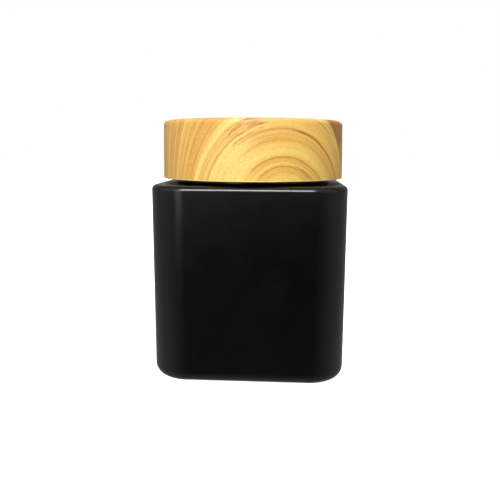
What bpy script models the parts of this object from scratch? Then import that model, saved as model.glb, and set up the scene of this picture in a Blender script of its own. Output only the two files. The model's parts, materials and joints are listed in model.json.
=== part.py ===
"""A square black glass jar with a push-and-turn screw closure.

The glass jar has a round threaded neck. The closure has four kinds of piece: a foam liner that seals on
the jar's rim, a threaded inner cap that holds it, a wood-grained outer shell around that cap, and eight
spring fingers under the shell's ceiling. The fingers hold the shell up, so it turns freely with a click.
Pressing the shell down sinks its drive lugs between those of the inner cap, and then it unscrews.

Lengths are in metres and +Z is up. The origin is at the middle of the jar's base, and -Y is the front.
Closure pieces are modelled from the shoulder's level, and hang on an empty there, on the screw axis.
"""

import math

import bmesh
import bpy

MM = 0.001
TURN = 2 * math.pi

# Overall sizes
BODY_HALF = 30.0 * MM
SHOULDER_Z = 60.2 * MM
SKIRT_GAP = 1.5 * MM
SHELL_HEIGHT = 18.3 * MM
SHELL_RADIUS = 29.75 * MM

# Glass
CORNER_RADIUS = 11.3 * MM
HEEL_RADIUS = 3.6 * MM
EDGE_RADIUS = 1.5 * MM
WALL = 3.0 * MM
FLOOR_THICKNESS = 5.0 * MM
RECESS_DEPTH = 1.2 * MM
RECESS_INSET = 9.5 * MM
INNER_HEEL_RADIUS = 5.0 * MM
INNER_EDGE_RADIUS = 2.0 * MM

# Neck finish, nominally 53 mm
NECK_RADIUS = 25.3 * MM
THREAD_RADIUS = 26.4 * MM
BORE_RADIUS = 22.7 * MM
NECK_HEIGHT = 11.8 * MM
NECK_FILLET = 0.8 * MM
LIP_RADIUS = 0.8 * MM
COLLAR_RADIUS = 26.2 * MM
COLLAR_LOW = 1.0 * MM
COLLAR_HIGH = 2.5 * MM
LEAD = 25.4 * MM / 6
JAR_THREAD_START = 4.5 * MM
JAR_THREAD_TURNS = 1.25
CAP_THREAD_START = 0.35
CAP_THREAD_TURNS = 1.15
CAP_THREAD_DROP = 1.5 * MM

# Clearances and walls in the closure
GAP = 0.3 * MM
THREAD_CLEARANCE = 0.35 * MM
LINER_THICKNESS = 1.0 * MM
CAP_TOP = 1.2 * MM
CAP_WALL = 1.0 * MM
SHELL_WALL = 1.45 * MM
SHELL_TOP = 1.5 * MM
SHELL_DRAFT = 0.25 * MM
SHELL_EDGE_RADIUS = 1.3 * MM

# Push-and-turn drive
LUG_COUNT = 24
CAP_LUG_HEIGHT = 1.4 * MM
SHELL_LUG_HEIGHT = 2.0 * MM
LUG_INNER = 20.5 * MM
LUG_OUTER = 24.5 * MM
LUG_WIDTH = math.radians(5.4)
RAMP_HEIGHT = 0.6 * MM
RAMP_WIDTH = math.radians(7.5)
FINGER_COUNT = 8
FINGER_INNER = 14.0 * MM
FINGER_OUTER = 16.6 * MM
FINGER_THICKNESS = 0.7 * MM
FINGER_SPAN = math.radians(36)

# Facets
SEGMENTS = 72
CORNER_STEPS = 10
OVERLAP = 0.5 * MM

# Levels above the shoulder, worked out from the sizes
LINER_LOW = NECK_HEIGHT + GAP
CAP_CEILING = LINER_LOW + LINER_THICKNESS + GAP
CAP_CROWN = CAP_CEILING + CAP_TOP
SHELL_CROWN = SKIRT_GAP + SHELL_HEIGHT
SHELL_CEILING = SHELL_CROWN - SHELL_TOP
CAP_LOW = SKIRT_GAP + 1.6 * MM
CAP_THREAD_ROOT = THREAD_RADIUS + GAP
CAP_RADIUS = CAP_THREAD_ROOT + CAP_WALL
PITCH_ANGLE = TURN / LUG_COUNT


def clear_scene():
    for old in list(bpy.data.objects):
        bpy.data.objects.remove(old)


def plain_material(name, colour, roughness):
    material = bpy.data.materials.new(name)
    material.use_nodes = True
    shader = material.node_tree.nodes["Principled BSDF"]
    shader.inputs["Base Color"].default_value = (*colour, 1.0)
    shader.inputs["Roughness"].default_value = roughness
    shader.inputs["Metallic"].default_value = 0.0
    return material


def arc(centre_r, centre_z, radius, start, end, steps):
    """Points (r, z) round a centre, from angle start to angle end in degrees, both ends included."""
    points = []
    for step in range(steps + 1):
        angle = math.radians(start + (end - start) * step / steps)
        points.append((centre_r + radius * math.cos(angle), centre_z + radius * math.sin(angle)))
    return points


def round_ring(radius, z):
    angles = [TURN * step / SEGMENTS for step in range(SEGMENTS)]
    return [(radius * math.cos(a), radius * math.sin(a), z) for a in angles]


def square_ring(half, z):
    """A rounded square whose corners share the jar's corner centres, with as many points as round_ring."""
    radius = max(half - (BODY_HALF - CORNER_RADIUS), 1.0 * MM)
    straight = half - radius
    side_steps = SEGMENTS // 4 - CORNER_STEPS
    quarter = [(half, straight * 2 * step / side_steps) for step in range(side_steps // 2)]
    for step in range(CORNER_STEPS + 1):
        angle = math.pi / 2 * step / CORNER_STEPS
        quarter.append((straight + radius * math.cos(angle), straight + radius * math.sin(angle)))
    for step in range(1, side_steps // 2):
        quarter.append((straight * (1 - 2 * step / side_steps), half))
    points = []
    for turn in range(4):
        c, s = round(math.cos(turn * math.pi / 2)), round(math.sin(turn * math.pi / 2))
        points += [(x * c - y * s, x * s + y * c, z) for x, y in quarter]
    return points


def add_object(name, mesh_data, material=None, parent=None, level=0.0):
    """Makes an object of a bmesh, with round surfaces smooth and true edges sharp."""
    bmesh.ops.recalc_face_normals(mesh_data, faces=mesh_data.faces)
    mesh = bpy.data.meshes.new(name)
    mesh_data.to_mesh(mesh)
    mesh_data.free()
    mesh.shade_smooth()
    mesh.set_sharp_from_angle(angle=math.radians(35))
    thing = bpy.data.objects.new(name, mesh)
    bpy.context.scene.collection.objects.link(thing)
    thing.parent = parent
    thing.location.z = level
    if material:
        mesh.materials.append(material)
    return thing


def loft(rings):
    """A closed skin through rings of equal count, with a flat face over the first and the last."""
    mesh_data = bmesh.new()
    loops = [[mesh_data.verts.new(point) for point in ring] for ring in rings]
    for lower, upper in zip(loops, loops[1:]):
        for i in range(len(lower)):
            j = (i + 1) % len(lower)
            mesh_data.faces.new((lower[i], lower[j], upper[j], upper[i]))
    mesh_data.faces.new(loops[0])
    mesh_data.faces.new(loops[-1])
    return mesh_data


def add_bar(mesh_data, inner, outer, stations):
    """Adds a bar that runs round the axis, through stations of (angle, low z, high z)."""
    loops = []
    for angle, low, high in stations:
        corners = [(inner, low), (outer, low), (outer, high), (inner, high)]
        loops.append(
            [mesh_data.verts.new((r * math.cos(angle), r * math.sin(angle), z)) for r, z in corners]
        )
    for first, second in zip(loops, loops[1:]):
        for i in range(4):
            j = (i + 1) % 4
            mesh_data.faces.new((first[i], first[j], second[j], second[i]))
    mesh_data.faces.new(loops[0])
    mesh_data.faces.new(loops[-1])


def helical_ridge(root, crest, root_half, crest_half, z_at_zero, first_turn, turns):
    """A thread's ridge on a wall at radius root. It rises out of the wall over a twelfth of a turn at each
    end, and its foot is sunk into the wall so that a union joins them."""
    mesh_data = bmesh.new()
    outward = 1 if crest > root else -1
    steps = round(turns * SEGMENTS)
    loops = []
    for step in range(steps + 1):
        turn = first_turn + turns * step / steps
        rise = min(1.0, 12 * turns * min(step, steps - step) / steps)
        rise = rise * rise * (3 - 2 * rise)
        z = z_at_zero + LEAD * turn
        foot = root - outward * OVERLAP
        top = root + outward * (abs(crest - root) * rise - 0.12 * MM * (1 - rise))
        wide = root_half * (0.45 + 0.55 * rise)
        narrow = crest_half * (0.45 + 0.55 * rise)
        section = [(foot, z - wide), (top, z - narrow), (top, z + narrow), (foot, z + wide)]
        c, s = math.cos(TURN * turn), math.sin(TURN * turn)
        loops.append([mesh_data.verts.new((r * c, r * s, height)) for r, height in section])
    for first, second in zip(loops, loops[1:]):
        for i in range(4):
            j = (i + 1) % 4
            mesh_data.faces.new((first[i], first[j], second[j], second[i]))
    mesh_data.faces.new(loops[0])
    mesh_data.faces.new(loops[-1])
    return mesh_data


def fuse(body, addition):
    """Joins a hidden helper to a body with a Boolean union."""
    addition.hide_render = True
    addition.display_type = "WIRE"
    union = body.modifiers.new("join_" + addition.name, "BOOLEAN")
    union.operation = "UNION"
    union.object = addition


def make_jar(material):
    inner_half = BODY_HALF - WALL
    inside_top = SHOULDER_Z - WALL
    rim = SHOULDER_Z + NECK_HEIGHT
    rings = [square_ring(BODY_HALF - RECESS_INSET, RECESS_DEPTH)]
    rings += [square_ring(BODY_HALF - RECESS_INSET + RECESS_DEPTH, 0.0)]
    rings += [square_ring(r, z) for r, z in arc(BODY_HALF - HEEL_RADIUS, HEEL_RADIUS, HEEL_RADIUS, -90, 0, 4)]
    edge = arc(BODY_HALF - EDGE_RADIUS, SHOULDER_Z - EDGE_RADIUS, EDGE_RADIUS, 0, 90, 3)
    rings += [square_ring(r, z) for r, z in edge]
    neck = arc(NECK_RADIUS + NECK_FILLET, SHOULDER_Z + NECK_FILLET, NECK_FILLET, 270, 180, 2)
    neck += [
        (NECK_RADIUS, SHOULDER_Z + COLLAR_LOW),
        (COLLAR_RADIUS, SHOULDER_Z + COLLAR_LOW + 0.4 * MM),
        (COLLAR_RADIUS, SHOULDER_Z + COLLAR_HIGH - 0.4 * MM),
        (NECK_RADIUS, SHOULDER_Z + COLLAR_HIGH),
    ]
    neck += arc(NECK_RADIUS - LIP_RADIUS, rim - LIP_RADIUS, LIP_RADIUS, 0, 90, 2)
    neck += arc(BORE_RADIUS + LIP_RADIUS, rim - LIP_RADIUS, LIP_RADIUS, 90, 180, 2)
    neck += arc(BORE_RADIUS + LIP_RADIUS, inside_top + LIP_RADIUS, LIP_RADIUS, 180, 270, 2)
    rings += [round_ring(r, z) for r, z in neck]
    inside = arc(inner_half - INNER_EDGE_RADIUS, inside_top - INNER_EDGE_RADIUS, INNER_EDGE_RADIUS, 90, 0, 2)
    floor_centre = FLOOR_THICKNESS + INNER_HEEL_RADIUS
    inside += arc(inner_half - INNER_HEEL_RADIUS, floor_centre, INNER_HEEL_RADIUS, 0, -90, 3)
    rings += [square_ring(r, z) for r, z in inside]
    jar = add_object("glass_jar", loft(rings), material)
    ridge = helical_ridge(
        NECK_RADIUS, THREAD_RADIUS, 1.2 * MM, 0.5 * MM, SHOULDER_Z + JAR_THREAD_START, 0.0, JAR_THREAD_TURNS
    )
    fuse(jar, add_object("jar_thread", ridge))
    return jar


def make_liner(closure, material):
    radius = CAP_THREAD_ROOT - GAP
    profile = [(radius, LINER_LOW), (radius, LINER_LOW + LINER_THICKNESS)]
    return add_object("foam_liner", loft([round_ring(r, z) for r, z in profile]), material, closure)


def cap_drive(mesh_data):
    """The inner cap's upright lugs, and inside them the low ramps that the spring fingers click over."""
    foot = CAP_CROWN - OVERLAP
    for count in range(LUG_COUNT):
        start = PITCH_ANGLE * count - LUG_WIDTH / 2
        tip = CAP_CROWN + CAP_LUG_HEIGHT
        stations = [
            (start, foot, tip),
            (start + LUG_WIDTH * 0.6, foot, tip),
            (start + LUG_WIDTH, foot, tip - CAP_LUG_HEIGHT * 0.4),
        ]
        add_bar(mesh_data, LUG_INNER, LUG_OUTER, stations)
        low = PITCH_ANGLE * count - RAMP_WIDTH / 2
        slope = [(low, foot, CAP_CROWN + 0.1 * MM), (low + RAMP_WIDTH, foot, CAP_CROWN + RAMP_HEIGHT)]
        add_bar(mesh_data, FINGER_INNER - GAP, FINGER_OUTER + GAP, slope)


def make_inner_cap(closure, material):
    flange = CAP_RADIUS + 0.25 * MM
    outside = arc(CAP_RADIUS - 0.8 * MM, CAP_CROWN - 0.8 * MM, 0.8 * MM, 90, 0, 2)
    profile = [(2.0 * MM, CAP_CROWN), (LUG_OUTER + GAP, CAP_CROWN), *outside]
    profile += [
        (CAP_RADIUS, CAP_LOW + 1.4 * MM),
        (flange, CAP_LOW + 1.0 * MM),
        (flange, CAP_LOW),
        (CAP_THREAD_ROOT + 0.3 * MM, CAP_LOW),
        (CAP_THREAD_ROOT, CAP_LOW + 0.3 * MM),
        (CAP_THREAD_ROOT, CAP_CEILING),
    ]
    cap = add_object("inner_cap", loft([round_ring(r, z) for r, z in profile]), material, closure)
    drive = bmesh.new()
    cap_drive(drive)
    fuse(cap, add_object("inner_cap_drive", drive, parent=closure))
    # The drop from the jar's ridge leaves a gap between the flanks that carry the load.
    ridge = helical_ridge(
        CAP_THREAD_ROOT,
        NECK_RADIUS + THREAD_CLEARANCE,
        0.8 * MM,
        0.35 * MM,
        JAR_THREAD_START - CAP_THREAD_DROP,
        CAP_THREAD_START,
        CAP_THREAD_TURNS,
    )
    fuse(cap, add_object("inner_cap_thread", ridge, parent=closure))
    return cap


def make_outer_shell(closure, material):
    skirt_inner = SHELL_RADIUS - SHELL_WALL
    top_radius = SHELL_RADIUS - SHELL_DRAFT
    bead_low = SKIRT_GAP + 0.3 * MM
    bead_high = CAP_LOW - GAP
    crown = arc(top_radius - SHELL_EDGE_RADIUS, SHELL_CROWN - SHELL_EDGE_RADIUS, SHELL_EDGE_RADIUS, 90, 0, 4)
    profile = [(2.0 * MM, SHELL_CROWN), *crown]
    profile += [
        (SHELL_RADIUS, SKIRT_GAP + 0.3 * MM),
        (SHELL_RADIUS - 0.3 * MM, SKIRT_GAP),
        (skirt_inner, SKIRT_GAP),
        (skirt_inner - 0.8 * MM, bead_low + 0.4 * MM),
        (skirt_inner - 0.8 * MM, bead_high - 0.2 * MM),
        (skirt_inner, bead_high + 0.2 * MM),
        (skirt_inner - SHELL_DRAFT, SHELL_CEILING - 1.0 * MM),
        (skirt_inner - SHELL_DRAFT - 1.0 * MM, SHELL_CEILING),
    ]
    shell = add_object("outer_shell", loft([round_ring(r, z) for r, z in profile]), material, closure)
    lugs = bmesh.new()
    root = SHELL_CEILING + OVERLAP
    tip = SHELL_CEILING - SHELL_LUG_HEIGHT
    for count in range(LUG_COUNT):
        start = PITCH_ANGLE * (count + 0.5) - LUG_WIDTH / 2
        stations = [
            (start, tip + SHELL_LUG_HEIGHT * 0.4, root),
            (start + LUG_WIDTH * 0.4, tip, root),
            (start + LUG_WIDTH, tip, root),
        ]
        add_bar(lugs, LUG_INNER, LUG_OUTER, stations)
    fuse(shell, add_object("shell_lugs", lugs, parent=closure))
    return shell


def make_spring_finger(number, closure, material):
    """A leaf that slopes down clockwise from its root at the shell's ceiling to a foot over the ramps."""
    top = SHELL_CEILING - GAP
    foot = CAP_CROWN + RAMP_HEIGHT + GAP
    root_angle = TURN * number / FINGER_COUNT + math.radians(43)
    root_share = 0.16
    stations = [(root_angle, top - 1.3 * MM, top)]
    stations += [(root_angle - root_share * FINGER_SPAN, top - 1.3 * MM, top)]
    leaf_steps = 8
    for step in range(leaf_steps + 1):
        share = step / leaf_steps
        drop = share * share * (3 - 2 * share)
        low = top - 1.3 * MM - (top - 1.3 * MM - foot) * drop
        angle = root_angle - (root_share + 0.02 + (1 - root_share - 0.02) * share) * FINGER_SPAN
        stations.append((angle, low, low + FINGER_THICKNESS))
    mesh_data = bmesh.new()
    add_bar(mesh_data, FINGER_INNER, FINGER_OUTER, stations)
    return add_object(f"spring_finger_{number + 1}", mesh_data, material, closure)


def main():
    clear_scene()
    black_glass = plain_material("satin_black_glass", (0.012, 0.013, 0.014), 0.35)
    wood_print = plain_material("wood_grain_print", (0.78, 0.51, 0.17), 0.35)
    white_plastic = plain_material("white_polypropylene", (0.82, 0.80, 0.74), 0.4)
    foam = plain_material("polyethylene_foam", (0.88, 0.88, 0.86), 0.8)
    closure = bpy.data.objects.new("closure_axis", None)
    closure.location.z = SHOULDER_Z
    bpy.context.scene.collection.objects.link(closure)
    make_jar(black_glass)
    make_liner(closure, foam)
    make_inner_cap(closure, white_plastic)
    make_outer_shell(closure, wood_print)
    for number in range(FINGER_COUNT):
        make_spring_finger(number, closure, white_plastic)


main()
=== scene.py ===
"""The looks of a square black glass jar with a push-and-turn screw closure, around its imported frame.

Profiles and materials are worked out in millimetres, because the whole jar is 80 mm tall. MM turns them into
metres when vertices are made. +Z is up, the origin is at the middle of the base, and -Y is the front.
"""

import json
import math
from dataclasses import dataclass

import bmesh
import bpy
from mathutils import Matrix, Vector


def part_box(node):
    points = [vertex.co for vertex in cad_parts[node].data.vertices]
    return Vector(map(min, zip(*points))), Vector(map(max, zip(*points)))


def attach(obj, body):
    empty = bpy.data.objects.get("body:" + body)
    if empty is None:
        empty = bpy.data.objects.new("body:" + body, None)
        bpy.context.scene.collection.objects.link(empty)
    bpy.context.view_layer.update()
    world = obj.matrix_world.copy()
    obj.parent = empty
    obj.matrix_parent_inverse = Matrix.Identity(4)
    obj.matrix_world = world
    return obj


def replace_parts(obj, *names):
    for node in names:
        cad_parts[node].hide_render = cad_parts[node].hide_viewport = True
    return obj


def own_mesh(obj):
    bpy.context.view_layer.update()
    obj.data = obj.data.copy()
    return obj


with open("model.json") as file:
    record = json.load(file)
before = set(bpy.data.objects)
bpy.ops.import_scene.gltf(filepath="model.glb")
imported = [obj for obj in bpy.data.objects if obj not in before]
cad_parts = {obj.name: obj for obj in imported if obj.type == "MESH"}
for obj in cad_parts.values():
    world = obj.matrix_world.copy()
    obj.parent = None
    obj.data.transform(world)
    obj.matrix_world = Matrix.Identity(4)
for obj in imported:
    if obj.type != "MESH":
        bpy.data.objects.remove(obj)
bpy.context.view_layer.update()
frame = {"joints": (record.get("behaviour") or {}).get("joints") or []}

MM = 0.001
TURN = 2 * math.pi

# Steps round a whole ring, where an edge counts as sharp, and how near counts as on a surface
SEGMENTS = 312
SHARP_ANGLE = math.radians(38)
NEAR = 0.01


def box_mm(node):
    """The corners of a node's box in the frame, in millimetres."""
    low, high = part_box(node)
    return low / MM, high / MM


_, jar_high = box_mm("glass_jar")
liner_low, liner_high = box_mm("foam_liner")
cap_low, cap_high = box_mm("inner_cap")
shell_low, shell_high = box_mm("outer_shell")
finger_low, _ = box_mm("spring_finger_1")

# Sizes from the frame
BODY_HALF = jar_high.x
RIM = jar_high.z
SHELL_RADIUS = shell_high.x
SHELL_FOOT = shell_low.z
SHELL_CROWN = shell_high.z
CAP_FOOT = cap_low.z
CAP_LUG_TIP = cap_high.z
CAP_FLANGE = cap_high.x
FINGER_FOOT = finger_low.z

# Glass. The photographed shoulder is 0.2 higher than the CAD's, so less is left under the skirt.
SKIRT_GAP = 1.3
SHOULDER = SHELL_FOOT - SKIRT_GAP
CORNER_RADIUS = 11.3
HEEL_RADIUS = 3.6
EDGE_RADIUS = 1.5
WALL = 3.0
FLOOR = 5.0
RECESS_HALF = 20.5
RECESS_DEPTH = 1.2
NECK_RADIUS = 25.3
THREAD_RADIUS = 26.4
BORE_RADIUS = 22.7
COLLAR_RADIUS = 26.2
COLLAR_FOOT = SHOULDER + 1.0
COLLAR_TOP = SHOULDER + 2.5
LIP_RADIUS = 0.8
LEAD = 25.4 / 6
THREAD_FADE = 1 / 12
MOULD_SEAMS = (math.radians(45), math.radians(225))
SEAM_HEIGHT = 0.05
SEAM_HALF_WIDTH = 0.012

# Closure
CAP_CROWN = CAP_LUG_TIP - 1.4
CAP_CEILING = CAP_CROWN - 1.2
CAP_RADIUS = 27.7
CAP_THREAD_ROOT = 26.7
SHELL_CEILING = SHELL_CROWN - 1.5
SHELL_INNER = 28.3
SHELL_DRAFT = 0.35
SHELL_INNER_DRAFT = 0.25
SHELL_EDGE = 1.4
BEAD_DEPTH = 0.8
LUG_COUNT = 24
LUG_INNER = 20.5
LUG_OUTER = 24.5
LUG_WIDTH = math.radians(5.4)
LUG_ROUNDING = 0.18
LUG_SLOPE = 0.4
SHELL_LUG_HEIGHT = 2.0
RAMP_WIDTH = math.radians(7.5)
RAMP_INNER = 13.7
RAMP_OUTER = 16.9
RAMP_STEP = 0.08
RAMP_RISE = 0.52
RAMP_ROUNDING = 0.04
PITCH = TURN / LUG_COUNT

# Spring fingers
FINGER_COUNT = 8
FINGER_INNER = 14.0
FINGER_OUTER = 16.6
FINGER_SPAN = math.radians(36)
FINGER_ROOT = math.radians(43)
FINGER_BLOCK = 1.6
FINGER_LEAF = 0.7


# ---------------------------------------------------------------- shapes

@dataclass
class Corner:
    """A corner of a profile, with its rounding, the finish and step of the run that follows, and the shape of
    its ring: square is 0 for a circle and 1 for a rounded square."""

    r: float
    z: float
    radius: float = 0.0
    finish: int = 0
    square: float = 0.0
    step: float = 2.0


@dataclass
class Station:
    """One ring of a lofted skin. Its finish is that of the band that follows it."""

    r: float
    z: float
    finish: int
    square: float


def outline(corners):
    """Stations along the straight runs between corners, with each corner rounded by its radius. A run has
    stations close to its ends, which keep smooth shading flat along it."""
    hold = 0.12
    arc_step = math.radians(9)
    nearly_straight = math.pi - 0.01
    places = [Vector((c.r, c.z)) for c in corners]
    arcs = [[place] for place in places]
    for i in range(1, len(corners) - 1):
        before = (places[i - 1] - places[i]).normalized()
        after = (places[i + 1] - places[i]).normalized()
        opening = before.angle(after)
        radius = corners[i].radius
        if radius == 0.0 or opening > nearly_straight:
            continue
        reach = radius / math.tan(opening / 2)
        centre = places[i] + (before + after).normalized() * radius / math.sin(opening / 2)
        first = places[i] + before * reach - centre
        last = places[i] + after * reach - centre
        sweep = first.angle_signed(last)
        steps = max(3, math.ceil(abs(sweep) / arc_step))
        turns = [Matrix.Rotation(-sweep * k / steps, 2) for k in range(steps + 1)]
        arcs[i] = [centre + turn @ first for turn in turns]
    stations = []
    for i, corner in enumerate(corners):
        previous = corners[i - 1] if i else corner
        stations += [Station(p.x, p.y, previous.finish, corner.square) for p in arcs[i]]
        stations[-1].finish = corner.finish
        if i + 1 == len(corners):
            break
        start, end = arcs[i][-1], arcs[i + 1][0]
        length = (end - start).length
        count = max(1, round(length / corner.step))
        shares = [k / count for k in range(1, count)]
        if length > 6 * hold:
            shares = sorted({hold / length, *shares, 1 - hold / length})
        for share in shares:
            place = start.lerp(end, share)
            square = corner.square + (corners[i + 1].square - corner.square) * share
            stations.append(Station(place.x, place.y, corner.finish, square))
    return stations


def square_points(half):
    """A rounded square whose corners share the jar's corner centres, from +X and counter-clockwise."""
    corner_steps = 30
    side_steps = SEGMENTS // 4 - corner_steps
    radius = max(half - (BODY_HALF - CORNER_RADIUS), 1.0)
    straight = half - radius
    quarter = [(half, straight * 2 * k / side_steps) for k in range(side_steps // 2)]
    for k in range(corner_steps):
        angle = math.pi / 2 * k / corner_steps
        quarter.append((straight + radius * math.cos(angle), straight + radius * math.sin(angle)))
    quarter += [(straight * (1 - 2 * k / side_steps), half) for k in range(side_steps // 2)]
    points = []
    for c, s in ((1, 0), (0, 1), (-1, 0), (0, -1)):
        points += [Vector((x * c - y * s, x * s + y * c)) for x, y in quarter]
    return points


def skin(name, stations, finishes, angles=None, relief=None):
    """A closed skin through a ring at each station, with a fan over the first and the last ring. relief
    gives the outward step in millimetres at a radius, height and angle."""
    angles = angles or [TURN * k / SEGMENTS for k in range(SEGMENTS)]
    data = bmesh.new()
    loops = []
    for station in stations:
        loop = []
        squares = square_points(station.r) if station.square else None
        for k, angle in enumerate(angles):
            r = station.r + (relief(station.r, station.z, angle) if relief else 0.0)
            place = Vector((r * math.cos(angle), r * math.sin(angle)))
            if squares:
                place = place.lerp(squares[k], station.square)
            loop.append(data.verts.new((place.x * MM, place.y * MM, station.z * MM)))
        loops.append(loop)
    count = len(angles)
    for station, lower, upper in zip(stations, loops, loops[1:]):
        for k in range(count):
            corners = (lower[k], lower[(k + 1) % count], upper[(k + 1) % count], upper[k])
            data.faces.new(corners).material_index = station.finish
    for loop, station in ((loops[0], stations[0]), (loops[-1], stations[-2])):
        middle = data.verts.new((0.0, 0.0, loop[0].co.z))
        for k in range(count):
            data.faces.new((loop[k], loop[(k + 1) % count], middle)).material_index = station.finish
    bmesh.ops.recalc_face_normals(data, faces=data.faces)
    return finish_object(name, data, finishes)


def add(name, data):
    """A new object in the scene, from its mesh, light or camera."""
    thing = bpy.data.objects.new(name, data)
    bpy.context.scene.collection.objects.link(thing)
    return thing


def fill(mesh, data):
    """Moves the built data into a mesh, and shades it smooth between its sharp edges."""
    data.to_mesh(mesh)
    data.free()
    mesh.shade_smooth()
    mesh.set_sharp_from_angle(angle=SHARP_ANGLE)


def finish_object(name, data, finishes):
    mesh = bpy.data.meshes.new(name)
    fill(mesh, data)
    for material in finishes:
        mesh.materials.append(material)
    return add(name, mesh)


def smooth(low, high, value):
    """0 at low and 1 at high, with an easy start and end between them."""
    share = min(1.0, max(0.0, (value - low) / (high - low)))
    return share * share * (3 - 2 * share)


@dataclass
class Thread:
    """A thread on a round wall. base is its middle's height at turn 0, and it runs for some turns from the
    first. depth is its step outward, and the halves are half its width at its root and its crest."""

    base: float
    first: float
    turns: float
    depth: float
    root_half: float
    crest_half: float


NECK_THREAD = Thread(
    base=SHOULDER + 4.5, first=0.0, turns=1.25, depth=THREAD_RADIUS - NECK_RADIUS, root_half=1.2,
    crest_half=0.45,
)
CAP_THREAD = Thread(
    base=SHOULDER + 3.0, first=0.35, turns=1.15, depth=-1.05, root_half=0.8, crest_half=0.3,
)


def thread_step(thread, z, angle):
    """How far a thread stands out of its wall there. It narrows and fades at its ends, as it runs out."""
    height = 0.0
    here = angle / TURN
    for whole in range(3):
        turn = here + whole
        along = turn - thread.first
        if not 0.0 <= along <= thread.turns:
            continue
        rise = smooth(0.0, THREAD_FADE, min(along, thread.turns - along))
        narrow = 0.45 + 0.55 * rise
        away = abs(z - thread.base - LEAD * turn)
        flank = smooth(thread.crest_half * narrow, thread.root_half * narrow, away)
        height = max(height, rise * (1 - flank))
    return thread.depth * height


def jar_relief(r, z, angle):
    """The thread on the neck, and the two faint lines where the halves of the mould meet."""
    if abs(r - NECK_RADIUS) > NEAR or z < COLLAR_TOP:
        return 0.0
    away = min(abs(math.remainder(angle - seam, TURN)) for seam in MOULD_SEAMS)
    below_rim = 1 - smooth(RIM - 1.6, RIM - 1.0, z)
    seam = SEAM_HEIGHT * (1 - smooth(0.0, SEAM_HALF_WIDTH, away)) * below_rim
    return thread_step(NECK_THREAD, z, angle) + seam


def cap_relief(r, z, angle):
    """The thread inside the inner cap, which stands inward."""
    return 0.0 if abs(r - CAP_THREAD_ROOT) > NEAR else thread_step(CAP_THREAD, z, angle)


def make_jar(coating, glass):
    coated, bare = 0, 1
    corners = [
        Corner(2.0, RECESS_DEPTH + 0.45, finish=coated, square=1.0),
        Corner(11.0, RECESS_DEPTH + 0.3, 30.0, finish=coated, square=1.0, step=1.5),
        Corner(RECESS_HALF, RECESS_DEPTH, 0.6, finish=coated, square=1.0, step=0.6),
        Corner(RECESS_HALF + RECESS_DEPTH, 0.0, 0.4, finish=coated, square=1.0, step=0.6),
        Corner(BODY_HALF, 0.0, HEEL_RADIUS, finish=coated, square=1.0, step=2.5),
        Corner(BODY_HALF, SHOULDER, EDGE_RADIUS, finish=coated, square=1.0, step=0.8),
        Corner(NECK_RADIUS, SHOULDER, 0.7, finish=coated, step=0.6),
        Corner(NECK_RADIUS, COLLAR_FOOT, 0.1, finish=coated, step=0.5),
        Corner(COLLAR_RADIUS, COLLAR_FOOT + 0.4, 0.3, finish=coated, step=0.5),
        Corner(COLLAR_RADIUS, COLLAR_TOP - 0.4, 0.3, finish=coated, step=0.5),
        Corner(NECK_RADIUS, COLLAR_TOP, 0.3, finish=coated, step=0.2),
        Corner(NECK_RADIUS, RIM, LIP_RADIUS, finish=bare, step=0.5),
        Corner(BORE_RADIUS, RIM, LIP_RADIUS, finish=bare),
        Corner(BORE_RADIUS, SHOULDER - WALL, LIP_RADIUS, finish=bare, step=0.7),
        Corner(BODY_HALF - WALL, SHOULDER - WALL, 2.0, finish=bare, square=1.0, step=3.0),
        Corner(BODY_HALF - WALL, FLOOR, 5.0, finish=bare, square=1.0, step=3.0),
        Corner(6.0, FLOOR, finish=bare, square=1.0),
    ]
    jar = skin("jar_glass", outline(corners), [coating, glass], relief=jar_relief)
    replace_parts(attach(jar, "jar"), "glass_jar")


def make_liner(foam):
    """A foam disc that carries the ring which the jar's rim has pressed into it."""
    radius = liner_high.x
    low, high = liner_low.z, liner_high.z
    pressed = low + 0.16
    corners = [
        Corner(2.0, low + 0.02),
        Corner(BORE_RADIUS - 0.4, low, 1.5, step=0.5),
        Corner(BORE_RADIUS + 0.6, pressed, 1.0, step=0.5),
        Corner(NECK_RADIUS - 0.6, pressed, 1.0, step=0.4),
        Corner(NECK_RADIUS + 0.5, low, 0.6, step=0.4),
        Corner(radius, low, 0.25, step=0.3),
        Corner(radius, high, 0.2),
        Corner(2.0, high),
    ]
    liner = skin("closure_liner", outline(corners), [foam])
    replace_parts(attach(liner, "seal"), "foam_liner")


def pitch_angles(breaks, offset):
    """Angles round the axis that fall on each break, in every pitch of the drive. breaks holds pairs of
    (angle, steps to the next)."""
    angles = []
    for count in range(LUG_COUNT):
        for k, (start, steps) in enumerate(breaks):
            end = breaks[k + 1][0] if k + 1 < len(breaks) else breaks[0][0] + PITCH
            angles += [offset + PITCH * count + start + (end - start) * n / steps for n in range(steps)]
    return angles


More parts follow.
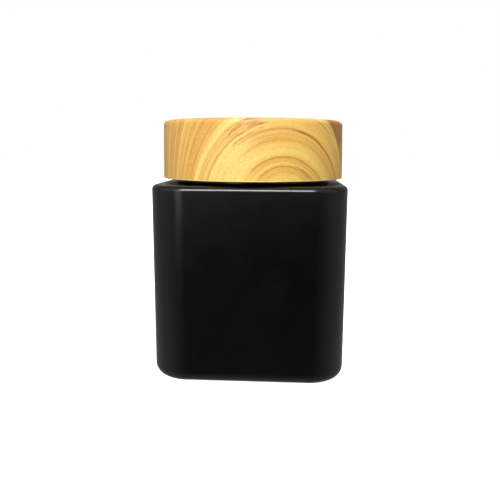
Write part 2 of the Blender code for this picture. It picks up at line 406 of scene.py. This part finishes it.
def raise_bars(piece, level, inner, outer, offset, width, height_at, rounding):
    """Extrudes a ring of bars from the flat face at a level. height_at gives a bar's signed height at the
    share of its width, and the bar's edges are rounded."""
    data = bmesh.new()
    data.from_mesh(piece.data)

    def share_of(point):
        angle = math.atan2(point.y, point.x) - offset
        return math.remainder(angle, PITCH) / width + 0.5

    def on_bar(face):
        middle = face.calc_center_median()
        r = math.hypot(middle.x, middle.y) / MM
        flat = abs(middle.z / MM - level) < NEAR
        return flat and inner < r < outer and 0.0 < share_of(middle) < 1.0

    faces = [face for face in data.faces if on_bar(face)]
    new = bmesh.ops.extrude_face_region(data, geom=faces)["geom"]
    tops = {item for item in new if isinstance(item, bmesh.types.BMFace)}
    points = {vert for face in tops for vert in face.verts}
    for vert in points:
        vert.co.z += height_at(min(1.0, max(0.0, share_of(vert.co)))) * MM
    data.normal_update()
    edges = [
        edge
        for edge in {edge for face in tops for edge in face.edges}
        if sum(face in tops for face in edge.link_faces) == 1
    ]
    bmesh.ops.bevel(
        data, geom=edges, offset=rounding * MM, segments=3, profile=0.5, affect="EDGES", clamp_overlap=True,
        material=-1,
    )
    fill(piece.data, data)


def make_inner_cap(plastic):
    thread_top = SHOULDER + 10.3
    corners = [
        Corner(3.0, CAP_CROWN, step=2.5),
        Corner(RAMP_INNER, CAP_CROWN, step=0.8),
        Corner(RAMP_OUTER, CAP_CROWN, step=1.2),
        Corner(LUG_INNER, CAP_CROWN, step=1.0),
        Corner(LUG_OUTER, CAP_CROWN, step=1.0),
        Corner(CAP_RADIUS, CAP_CROWN, 0.8, step=1.5),
        Corner(CAP_RADIUS, CAP_FOOT + 1.4, 0.3, step=0.5),
        Corner(CAP_FLANGE, CAP_FOOT + 1.0, 0.15, step=0.5),
        Corner(CAP_FLANGE, CAP_FOOT, 0.15, step=0.4),
        Corner(CAP_THREAD_ROOT + 0.3, CAP_FOOT, 0.1, step=0.3),
        Corner(CAP_THREAD_ROOT, CAP_FOOT + 0.3, 0.1, step=0.17),
        Corner(CAP_THREAD_ROOT, thread_top, step=1.0),
        Corner(CAP_THREAD_ROOT, CAP_CEILING, 0.3, step=2.5),
        Corner(3.0, CAP_CEILING),
    ]
    half_pitch, half_ramp, half_lug = PITCH / 2, RAMP_WIDTH / 2, LUG_WIDTH / 2
    breaks = [(-half_pitch, 3), (-half_ramp, 1), (-half_lug, 5), (half_lug, 1), (half_ramp, 3)]
    cap = skin("closure_inner_cap", outline(corners), [plastic], pitch_angles(breaks, 0.0), cap_relief)
    lug_height = CAP_LUG_TIP - CAP_CROWN
    raise_bars(
        cap, CAP_CROWN, LUG_INNER, LUG_OUTER, 0.0, LUG_WIDTH,
        lambda share: lug_height * (1 - LUG_SLOPE * smooth(0.55, 1.0, share)), LUG_ROUNDING,
    )
    raise_bars(
        cap, CAP_CROWN, RAMP_INNER, RAMP_OUTER, 0.0, RAMP_WIDTH,
        lambda share: RAMP_STEP + RAMP_RISE * share, RAMP_ROUNDING,
    )
    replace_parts(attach(cap, "inner_cap"), "inner_cap")


def make_shell(film, plastic):
    top = SHELL_RADIUS - SHELL_DRAFT
    inner_top = SHELL_INNER - SHELL_INNER_DRAFT
    bead = SHELL_INNER - BEAD_DEPTH
    print_side, plain = 0, 1
    corners = [
        Corner(3.0, SHELL_CROWN, finish=print_side, step=3.0),
        Corner(top, SHELL_CROWN, SHELL_EDGE, finish=print_side, step=1.5),
        Corner(SHELL_RADIUS, SHELL_FOOT + 0.6, finish=print_side, step=0.2),
        Corner(SHELL_RADIUS, SHELL_FOOT, 0.22, finish=plain, step=0.4),
        Corner(SHELL_INNER, SHELL_FOOT, 0.25, finish=plain, step=0.3),
        Corner(bead, SHELL_FOOT + 0.7, 0.2, finish=plain, step=0.3),
        Corner(bead, SHELL_FOOT + 1.1, 0.2, finish=plain, step=0.3),
        Corner(SHELL_INNER, SHELL_FOOT + 1.5, 0.4, finish=plain),
        Corner(inner_top, SHELL_CEILING - 1.0, 0.8, finish=plain, step=0.4),
        Corner(inner_top - 1.0, SHELL_CEILING, 0.8, finish=plain, step=1.0),
        Corner(LUG_OUTER, SHELL_CEILING, finish=plain, step=1.0),
        Corner(LUG_INNER, SHELL_CEILING, finish=plain, step=2.5),
        Corner(3.2, SHELL_CEILING, finish=plain, step=0.3),
        Corner(2.4, SHELL_CEILING, finish=plain, step=0.3),
        Corner(1.2, SHELL_CEILING - 0.25, 0.3, finish=plain, step=0.2),
        Corner(0.4, SHELL_CEILING - 0.25, finish=plain),
    ]
    half_pitch, half_lug = PITCH / 2, LUG_WIDTH / 2
    breaks = [(-half_pitch, 4), (-half_lug, 5), (half_lug, 4)]
    angles = pitch_angles(breaks, half_pitch)
    shell = skin("closure_shell", outline(corners), [film, plastic], angles)
    raise_bars(
        shell, SHELL_CEILING, LUG_INNER, LUG_OUTER, half_pitch, LUG_WIDTH,
        lambda share: -SHELL_LUG_HEIGHT * (1 - LUG_SLOPE * smooth(0.45, 0.0, share)), LUG_ROUNDING,
    )
    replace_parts(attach(shell, "outer_shell"), "outer_shell")


def bar_ring(data, angle, inner, outer, low, high, rounding):
    """One rounded rectangular section across a bar that runs round the axis."""
    corners = ((inner, low, 180), (outer, low, 270), (outer, high, 0), (inner, high, 90))
    ring = []
    for r, z, start in corners:
        centre_r = r + (rounding if r == inner else -rounding)
        centre_z = z + (rounding if z == low else -rounding)
        for k in range(4):
            bend = math.radians(start + 30 * k)
            at_r = centre_r + rounding * math.cos(bend)
            at_z = centre_z + rounding * math.sin(bend)
            ring.append(data.verts.new((at_r * math.cos(angle) * MM, at_r * math.sin(angle) * MM, at_z * MM)))
    return ring


def make_finger(number, plastic):
    """A leaf that slopes down clockwise from a root block under the shell's ceiling to a rounded toe."""
    root_angle = TURN * number / FINGER_COUNT + FINGER_ROOT
    top = SHELL_CEILING - 0.02
    under = top - FINGER_BLOCK
    steps = 44
    data = bmesh.new()
    rings = []
    for k in range(steps + 1):
        share = k / steps
        drop = smooth(0.16, 1.0, share)
        low = under - (under - FINGER_FOOT) * drop
        toe = smooth(0.93, 1.0, share)
        low += 0.12 * toe
        high = top - (top - low - FINGER_LEAF) * smooth(0.14, 0.22, share) - 0.2 * toe
        blunt = 0.25 * (smooth(0.03, 0.0, share) + smooth(0.97, 1.0, share))
        angle = root_angle - FINGER_SPAN * share
        inner, outer = FINGER_INNER + blunt, FINGER_OUTER - blunt
        rings.append(bar_ring(data, angle, inner, outer, low + blunt * 0.3, high - blunt * 0.3, 0.12))
    size = len(rings[0])
    for first, second in zip(rings, rings[1:]):
        for i in range(size):
            j = (i + 1) % size
            data.faces.new((first[i], first[j], second[j], second[i]))
    data.faces.new(rings[0])
    data.faces.new(rings[-1])
    bmesh.ops.recalc_face_normals(data, faces=data.faces)
    finger = finish_object(f"closure_finger_{number + 1}", data, [plastic])
    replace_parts(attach(finger, "spring_fingers"), f"spring_finger_{number + 1}")
    travel = next(j for j in frame["joints"] if j["name"] == "press")["range_m"][1] / MM
    height = top - FINGER_FOOT
    keep = (height - travel) / height
    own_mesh(finger)


# ---------------------------------------------------------------- materials

def colour(red, green, blue):
    """A colour given as it shows on a screen, 0 to 255, as the light that it reflects."""
    shown = [value / 255 for value in (red, green, blue)]
    linear = [v / 12.92 if v <= 0.04045 else ((v + 0.055) / 1.055) ** 2.4 for v in shown]
    return (*linear, 1.0)


class Graph:
    """The nodes of one material, which end in its Principled shader, or of the world around the jar."""

    def __init__(self, name, world=False):
        self.material = (bpy.data.worlds if world else bpy.data.materials).new(name)
        self.material.use_nodes = True
        self.tree = self.material.node_tree
        self.shader = self.tree.nodes["Background" if world else "Principled BSDF"]

    def feed(self, socket, value):
        """Links a field to a socket, or sets the socket to a plain value."""
        if isinstance(value, Field):
            self.tree.links.new(value.socket, socket)
        else:
            socket.default_value = value

    def node(self, kind, inputs, output=0, **settings):
        """Adds a node, and gives one of its outputs. inputs go by the name or number of their socket."""
        node = self.tree.nodes.new(kind)
        for key, value in settings.items():
            setattr(node, key, value)
        for key, value in inputs.items():
            self.feed(node.inputs[key], value)
        return Field(self, node.outputs[output])

    def set(self, **values):
        """Sets the shader's sockets: base_color= is Base Color, and so on."""
        for key, value in values.items():
            self.feed(self.shader.inputs[key.replace("_", " ")], value)

    def place(self):
        """The piece's own x, y and z in millimetres, which move with it."""
        here = self.node("ShaderNodeTexCoord", {}, output="Object")
        here = self.node("ShaderNodeVectorMath", {0: here, "Scale": 1 / MM}, operation="SCALE")
        return [self.node("ShaderNodeSeparateXYZ", {0: here}, output=k) for k in range(3)]

    def vector(self, x, y, z=0.0):
        return self.node("ShaderNodeCombineXYZ", {0: x, 1: y, 2: z})

    def noise(self, where, scale=1.0, detail=2.0, rough=0.5, distortion=0.0):
        inputs = {"Vector": where, "Scale": scale, "Detail": detail, "Roughness": rough}
        inputs["Distortion"] = distortion
        return self.node("ShaderNodeTexNoise", inputs)

    def cells(self, where, scale):
        """The distance to the nearest wall between cells."""
        inputs = {"Vector": where, "Scale": scale}
        return self.node("ShaderNodeTexVoronoi", inputs, feature="DISTANCE_TO_EDGE")

    def mix(self, first, second, share):
        inputs = {0: share, 6: first, 7: second}
        return self.node("ShaderNodeMix", inputs, output=2, data_type="RGBA")

    def times(self, first, second):
        """The product of two colours or vectors, part by part."""
        return self.node("ShaderNodeVectorMath", {0: first, 1: second}, operation="MULTIPLY")

    def ramp(self, value, stops):
        node = self.tree.nodes.new("ShaderNodeValToRGB")
        elements = node.color_ramp.elements
        while len(elements) < len(stops):
            elements.new(0.5)
        for element, (position, shade) in zip(elements, stops):
            element.position = position
            element.color = shade
        self.feed(node.inputs[0], value)
        return Field(self, node.outputs[0])

    def bump(self, height, distance_mm, strength=1.0, normal=None):
        inputs = {"Height": height, "Distance": distance_mm * MM, "Strength": strength}
        if normal:
            inputs["Normal"] = normal
        return self.node("ShaderNodeBump", inputs)


class Field:
    """A value that nodes work out at each point, so that a formula can be written as one."""

    def __init__(self, graph, socket):
        self.graph = graph
        self.socket = socket

    def math(self, operation, second=0.0, third=0.0):
        return self.graph.node("ShaderNodeMath", {0: self, 1: second, 2: third}, operation=operation)

    def __add__(self, other):
        return self.math("ADD", other)

    def __sub__(self, other):
        return self.math("SUBTRACT", other)

    def __rsub__(self, other):
        return self.math("MULTIPLY_ADD", -1.0, other)

    def __mul__(self, other):
        return self.math("MULTIPLY", other)

    def __truediv__(self, other):
        return self.math("DIVIDE", other)

    __radd__ = __add__
    __rmul__ = __mul__

    def root(self):
        return self.math("SQRT")

    def size(self):
        return self.math("ABSOLUTE")

    def at_least(self, low):
        return self.math("MAXIMUM", low)

    def at_most(self, high):
        return self.math("MINIMUM", high)

    def between(self, start, end):
        """Rises smoothly from 0 at start to 1 at end, or falls where end is the smaller."""
        inputs = {"Value": self, "From Min": start, "From Max": end}
        return self.graph.node("ShaderNodeMapRange", inputs, interpolation_type="SMOOTHSTEP")

    def line(self, level, width):
        """1 on a level, falling smoothly to 0 at width from it."""
        return (self - level).size().between(width, 0.0)

    def window(self, low, high, fade):
        """1 between low and high, falling smoothly to 0 at fade outside them."""
        return self.between(low - fade, low) * self.between(high + fade, high)


def make_coating():
    """The satin black coating on the glass, with a faint orange peel, and scuffs where the jar stands."""
    g = Graph("satin_black_coating")
    x, y, z = g.place()
    here = g.vector(x, y, z)
    cloud = g.noise(here, 0.11, 3.0)
    grain = g.noise(here, 2.6, 3.0, 0.6)
    peel = g.noise(here, 1.1, 2.0)
    sag = g.noise(g.vector(x, y, z * 0.5), 0.06, 1.0)
    foot = z.between(0.9, 0.0)
    scuffs = g.noise(g.vector(x * 0.9, y * 0.9, z * 3.0), 1.7, 4.0, 0.7).between(0.56, 0.72) * foot
    base = g.mix(colour(1, 1, 1), colour(5, 6, 6), cloud)
    base = g.mix(base, colour(70, 70, 68), scuffs * 0.6)
    roughness = 0.22 + 0.06 * (cloud - 0.5) + 0.05 * (grain - 0.5) + 0.12 * scuffs
    normal = g.bump(sag, 0.6, 0.2)
    normal = g.bump(peel, 0.003, 1.0, normal)
    normal = g.bump(grain, 0.002, 1.0, normal)
    g.set(Base_Color=base, Roughness=roughness, Normal=normal, IOR=1.5)
    return g.material


def make_inner_glass():
    """Bare glass over the coating's back: deep gloss, with the ripples of a pressed piece and some dust."""
    g = Graph("gloss_black_glass")
    x, y, z = g.place()
    here = g.vector(x, y, z)
    ripple = g.noise(g.vector(x, y, z * 0.35), 0.14, 2.0)
    dust = g.noise(here, 3.2, 2.0, 0.7).between(0.66, 0.80)
    base = g.mix(colour(9, 10, 10), colour(17, 19, 19), g.noise(here, 0.2, 2.0))
    base = g.mix(base, colour(80, 80, 78), dust * 0.12)
    roughness = 0.06 + 0.05 * g.noise(here, 0.3, 3.0) + 0.2 * dust
    g.set(Base_Color=base, Roughness=roughness, Normal=g.bump(ripple, 0.5, 0.35), IOR=1.52)
    g.set(Coat_Weight=0.6, Coat_Roughness=0.03)
    return g.material


def make_plastic(name, light, dark):
    """Moulded polypropylene, slightly uneven in tone, with flow marks round the axis."""
    g = Graph(name)
    x, y, z = g.place()
    here = g.vector(x, y, z)
    r = (x * x + y * y).root()
    tone = g.noise(here, 0.09, 3.0)
    flow = g.noise(g.vector(r * 0.9, z * 0.4, tone * 2.0), 1.3, 2.0)
    fine = g.noise(here, 3.5, 3.0, 0.6)
    base = g.mix(dark, light, (tone * 0.7 + flow * 0.3).between(0.25, 0.75))
    roughness = 0.36 + 0.14 * fine + 0.08 * (flow - 0.5)
    normal = g.bump(flow, 0.02, 0.6)
    normal = g.bump(fine, 0.006, 1.0, normal)
    g.set(Base_Color=base, Roughness=roughness, Normal=normal, IOR=1.49)
    g.set(Subsurface_Weight=0.12, Subsurface_Scale=0.0012, Subsurface_Radius=(1.0, 0.85, 0.6))
    return g.material


def make_foam():
    """Closed-cell polyethylene foam: small cells under a thin skin."""
    g = Graph("closed_cell_foam")
    x, y, z = g.place()
    here = g.vector(x, y, z)
    warped = g.vector(x + 0.3 * g.noise(here, 1.0), y, z * 1.4)
    wall = g.cells(warped, 2.4).between(0.0, 0.12)
    small = g.cells(here, 5.5).between(0.0, 0.09)
    tone = g.noise(here, 0.16, 3.0)
    base = g.mix(colour(228, 228, 222), colour(246, 246, 242), tone)
    base = g.mix(colour(206, 206, 200), base, 0.35 + 0.65 * wall)
    normal = g.bump(wall, 0.05, 0.7)
    normal = g.bump(small, 0.02, 0.6, normal)
    g.set(Base_Color=base, Roughness=0.72 + 0.18 * tone, Normal=normal, IOR=1.45)
    g.set(Subsurface_Weight=0.25, Subsurface_Scale=0.001, Subsurface_Radius=(1.0, 0.95, 0.9))
    return g.material


LATE_WOOD = colour(148, 88, 24)


def film_arches(g, flat_x, flat_y):
    """How far a place on the flat film is across the arches and along their axis, and its level: the height
    of the arch through it over the foot of all arches."""
    arch_angle = math.radians(21.0)
    foot_distance = 50.6
    c, s = math.cos(arch_angle), math.sin(arch_angle)
    across = flat_x * c + flat_y * s
    along = foot_distance - flat_x * s + flat_y * c
    right = across.at_least(0.0)
    bend = right / 20.0
    reach = across / (1.0 + bend * bend).root()
    slenderness = 2.35 + 0.65 * along.between(8.0, 20.0)
    lean = reach / slenderness
    level = (along * along + lean * lean).root()
    slow = g.noise(g.vector(across / 14.0, along / 6.0), 1.0, 2.0)
    quick = g.noise(g.vector(across / 3.0, along / 1.5), 1.0, 3.0)
    jag = g.noise(g.vector(across / 1.1, along / 1.1), 1.0, 2.0)
    level = level + 0.045 * right * ((level - 7.5) / 10.0).at_least(-0.4).at_most(1.0)
    level = level + 0.7 * (slow - 0.5) + 0.34 * (quick - 0.5) + 0.5 * (jag - 0.5)
    return across, along, level


def film_zones(g, across, level):
    """The wood's broad colours from level to level, with a pale stretch on the left."""
    last = 80.0
    zones = [
        (0.0, (230, 196, 104)), (4.5, (230, 193, 100)), (5.8, (222, 179, 89)), (7.6, (224, 180, 88)),
        (8.0, (234, 196, 104)), (9.0, (227, 184, 93)), (10.2, (223, 177, 86)), (10.6, (230, 192, 101)),
        (12.2, (233, 200, 108)), (14.2, (226, 184, 94)), (15.2, (222, 177, 88)), (17.4, (228, 183, 94)),
        (18.5, (225, 178, 90)), (19.2, (236, 194, 105)), (21.0, (231, 187, 99)), (23.8, (231, 187, 100)),
        (24.4, (240, 208, 118)), (25.6, (239, 201, 111)), (27.2, (221, 172, 87)), (29.5, (220, 171, 85)),
        (34.0, (219, 171, 86)), (37.0, (224, 177, 93)), (41.0, (218, 171, 90)), (48.0, (216, 170, 90)),
        (last, (222, 179, 93)),
    ]
    base = g.ramp(level / last, [(at / last, colour(*shade)) for at, shade in zones])
    pale = across.between(-7.0, -18.0) * level.window(13.5, 19.4, 1.2)
    return g.mix(base, colour(240, 210, 120), pale * 0.62)


def film_lines(g, base, across, level):
    """Dark late wood, arch by arch, and thin pale streaks on the left."""
    wander = g.noise(g.vector(across * 0.16, level * 0.5), 1.0, 2.0)
    # Level, half width, strength, and where the line shows across the film
    grain_lines = [
        (5.6, 0.35, 0.26, -10, 14), (6.4, 0.3, 0.20, -8, 16), (7.1, 0.42, 0.56, -9, 13),
        (7.7, 0.46, 0.66, 8, 20), (8.7, 0.34, 0.34, -12, 22), (9.3, 0.3, 0.26, -10, 22),
        (9.9, 0.42, 0.56, -12, 22), (12.7, 0.3, 0.10, -30, 30), (15.0, 0.7, 0.20, -14, 30),
        (16.6, 0.35, 0.20, -10, 30), (18.1, 0.55, 0.42, -14, 6), (18.1, 0.6, 0.80, 7, 60),
        (20.3, 0.5, 0.46, -50, -8), (22.3, 0.6, 0.24, -50, -10), (23.4, 0.4, 0.26, -50, 8),
        (26.4, 0.45, 0.26, -60, -6), (27.8, 0.5, 0.24, -60, 60), (30.6, 0.6, 0.26, -60, 60),
        (33.4, 0.5, 0.28, -60, 60), (35.4, 0.8, 0.20, -60, 60),
    ]
    for at, width, strength, left, right in grain_lines:
        mark = level.line(at, width) * across.window(left, right, 5.0)
        base = g.mix(base, LATE_WOOD, mark * (strength * (0.6 + 0.8 * wander)))
    for at, width, strength in ((31.8, 0.45, 0.40), (34.6, 0.35, 0.30), (40.4, 0.5, 0.40)):
        streak = level.line(at, width) * across.between(-6.0, -12.0)
        base = g.mix(base, colour(246, 214, 130), streak * strength)
    return base


def film_rings(g, base, across, level):
    """Dark and pale rings beyond the arches of film_lines, from a noise that hardly changes along a ring."""
    rings = g.noise(g.vector(level * 0.8, across * 0.012), 1.0, 4.0, 0.6, 0.3)
    outer = level.between(31.0, 36.0)
    base = g.mix(base, LATE_WOOD, rings.between(0.52, 0.64) * outer * 0.28)
    return g.mix(base, colour(246, 212, 126), rings.between(0.48, 0.38) * outer * 0.42)


def film_knots(g, base, across, along, level):
    """A small cluster of reddish strokes on the left, as beside a knot, and a reddish patch on the right
    with two dark lines below it."""
    strokes = g.noise(g.vector(level * 1.25, across * 0.16), 1.0, 3.0, 0.6)
    cluster = across.window(-17.5, -7.0, 2.0) * level.window(18.9, 23.4, 0.6) * along.between(13.5, 16.0)
    base = g.mix(base, colour(166, 92, 40), strokes.between(0.47, 0.60) * cluster * 0.62)
    patch = across.window(18.0, 26.0, 5.0) * along.window(25.6, 30.0, 1.6)
    streaks = g.noise(g.vector(level * 0.9, across * 0.06), 1.0, 3.0, 0.6).between(0.36, 0.60)
    base = g.mix(base, colour(146, 84, 30), patch * (0.25 + 0.5 * streaks))
    for start, height in ((12.0, 22.7), (14.0, 23.8)):
        mark = along.line(height, 0.4) * across.window(start, start + 7.0, 1.5)
        base = g.mix(base, LATE_WOOD, mark * 0.5)
    return base


def make_wood_film():
    """A printed film with the arched grain of pine. It is laid over the crown and down the side, so grain
    runs on over the edge: a point's place on the flat film is its place from the axis, stretched by its
    depth below the crown."""
    g = Graph("wood_grain_film")
    x, y, z = g.place()
    depth = (SHELL_CROWN - z).at_least(0.0)
    r = (x * x + y * y).root().at_least(0.01)
    stretch = 1.0 + depth / r
    flat_x, flat_y = x * stretch, y * stretch
    across, along, level = film_arches(g, flat_x, flat_y)

    # Broad and fine streaks that follow the arches, and the grain of the print
    broad = g.noise(g.vector(across * 0.045, level * 0.55), 1.0, 3.0, 0.55)
    fine = g.noise(g.vector(across * 0.07, level * 1.15), 1.0, 4.0, 0.65)
    fibre = g.noise(g.vector(across * 0.85, level * 3.2), 1.0, 3.0, 0.6)
    speck = g.noise(g.vector(flat_x, flat_y, z * 1.4), 1.5, 2.0, 0.7)
    tone = 0.91 + 0.28 * (broad - 0.5) + 0.40 * (fine - 0.5) + 0.50 * (fibre - 0.5) + 0.50 * (speck - 0.5)

    # Darker wood is also redder
    base = g.times(film_zones(g, across, level), g.vector(tone.root(), tone, tone * tone))
    base = film_lines(g, base, across, level)
    base = film_rings(g, base, across, level)
    base = film_knots(g, base, across, along, level)
    pores = g.noise(g.vector(across * 0.6, level * 7.0), 1.0, 2.0, 0.6).between(0.60, 0.76)
    base = g.mix(base, LATE_WOOD, pores * 0.22)

    # The shell's own pale plastic shows under the film at the skirt's foot, and this band is also a painted
    # highlight, brighter and yellower, where the bottom edge catches the light
    rim = z.between(SHELL_FOOT + 0.42, SHELL_FOOT + 0.24)
    base = g.mix(base, colour(252, 226, 158), rim * 0.75)
    roughness = 0.44 + 0.06 * (fine - 0.5) + 0.05 * (broad - 0.5)
    peel = g.noise(g.vector(x, y, z), 0.9, 2.0)
    normal = g.bump(fibre * 0.5 + fine * 0.5, 0.010, 0.8)
    normal = g.bump(peel, 0.010, 0.8, normal)
    g.set(Base_Color=base, Roughness=roughness, Normal=normal, IOR=1.48)
    return g.material


# ---------------------------------------------------------------- studio

def make_camera():
    """The photographer's place: just right of the middle, as high as the closure, looking slightly down."""
    data = bpy.data.cameras.new("camera")
    data.sensor_width = 36.0
    data.lens = 41.15
    data.clip_start = 0.01
    camera = add("camera", data)
    place = Vector((0.0111, -0.1946, 0.0713))
    pitch, roll = 0.1759, 0.0044
    heading = Vector((-0.0614, 0.998, 0.0)).normalized()
    forward = heading * math.cos(pitch) - Vector((0.0, 0.0, math.sin(pitch)))
    right = forward.cross(Vector((0.0, 0.0, 1.0))).normalized()
    up = right.cross(forward)
    across = right * math.cos(roll) + up * math.sin(roll)
    upward = up * math.cos(roll) - right * math.sin(roll)
    turn = Matrix((across, upward, -forward)).transposed()
    camera.matrix_world = Matrix.Translation(place) @ turn.to_4x4()
    bpy.context.scene.camera = camera


def softbox(name, azimuth, elevation, width, height, radiance):
    """A rectangular light that faces the middle of the jar. Azimuth 0 is in front, and 90 to the right."""
    middle = Vector((0.0, 0.0, 0.045))
    distance = 0.8
    data = bpy.data.lights.new(name, "AREA")
    data.shape = "RECTANGLE"
    data.size = width
    data.size_y = height
    data.energy = radiance * math.pi * width * height
    light = add(name, data)
    a, e = math.radians(azimuth), math.radians(elevation)
    towards = Vector((math.sin(a) * math.cos(e), -math.cos(a) * math.cos(e), math.sin(e)))
    light.location = middle + towards * distance
    light.rotation_euler = towards.to_track_quat("Z", "Y").to_euler()
    return light


def make_world():
    """A studio that is dark in front of the jar and lighter at its sides and above. The camera sees it as a
    white backdrop."""
    g = Graph("studio", world=True)
    where = g.node("ShaderNodeTexCoord", {}, output="Generated")
    x, y, z = [g.node("ShaderNodeSeparateXYZ", {0: where}, output=k) for k in range(3)]
    # Brightness from in front of the jar, at -1, to behind it, at 1
    levels = [
        (-1.0, 0.0), (-0.94, 0.0), (-0.8, 0.08), (-0.5, 0.22), (-0.1, 0.29), (0.2, 0.30), (0.5, 0.27),
        (0.8, 0.25), (0.92, 0.28), (1.0, 0.32),
    ]
    around = g.ramp(y * 0.5 + 0.5, [(at / 2 + 0.5, (level, level, level, 1.0)) for at, level in levels])
    above = 0.42 * z.between(-0.10, 0.03) * y.between(0.2, -0.4)
    below = 0.05 * z.between(-0.20, -0.34)
    left = 0.065 * x.between(-0.16, -0.32) * y.between(0.0, -0.4)
    path = g.node("ShaderNodeLightPath", {}, output="Is Camera Ray")
    seen = g.node("ShaderNodeMix", {0: path, 2: around + above + below + left, 3: 1.0})
    g.set(Strength=seen, Color=(1.0, 1.0, 1.0, 1.0))
    bpy.context.scene.world = g.material


def make_floor():
    """A pale floor that neither lights the jar nor shows in its gloss."""
    g = Graph("pale_floor")
    g.set(Base_Color=(0.92, 0.92, 0.92, 1.0), Roughness=0.9)
    g.set(Emission_Color=(1.0, 1.0, 1.0, 1.0), Emission_Strength=0.85)
    data = bmesh.new()
    bmesh.ops.create_grid(data, x_segments=8, y_segments=8, size=4.0)
    floor = finish_object("floor", data, [g.material])
    floor.location.z = -0.00005
    floor.visible_glossy = False
    floor.visible_diffuse = False


def make_lights():
    """Two lights that show in the coating, and two that only shade the jar."""
    softbox("key", -4, 31, 0.36, 0.28, 19.0)
    softbox("left", -24.2, 13.5, 0.27, 0.50, 1.9)
    softbox("overhead", 0, 85, 0.5, 0.4, 2.5).visible_glossy = False
    softbox("back", 168, 34, 0.40, 0.30, 9.0).visible_glossy = False


def main():
    coating, glass = make_coating(), make_inner_glass()
    film = make_wood_film()
    ivory = make_plastic("ivory_polypropylene", colour(240, 234, 214), colour(226, 216, 188))
    white = make_plastic("white_polypropylene_moulded", colour(240, 239, 233), colour(226, 225, 217))
    make_jar(coating, glass)
    make_liner(make_foam())
    make_inner_cap(white)
    make_shell(film, ivory)
    for number in range(FINGER_COUNT):
        make_finger(number, white)
    make_camera()
    make_world()
    make_floor()
    make_lights()
    bpy.context.scene.view_settings.view_transform = "Standard"


main()
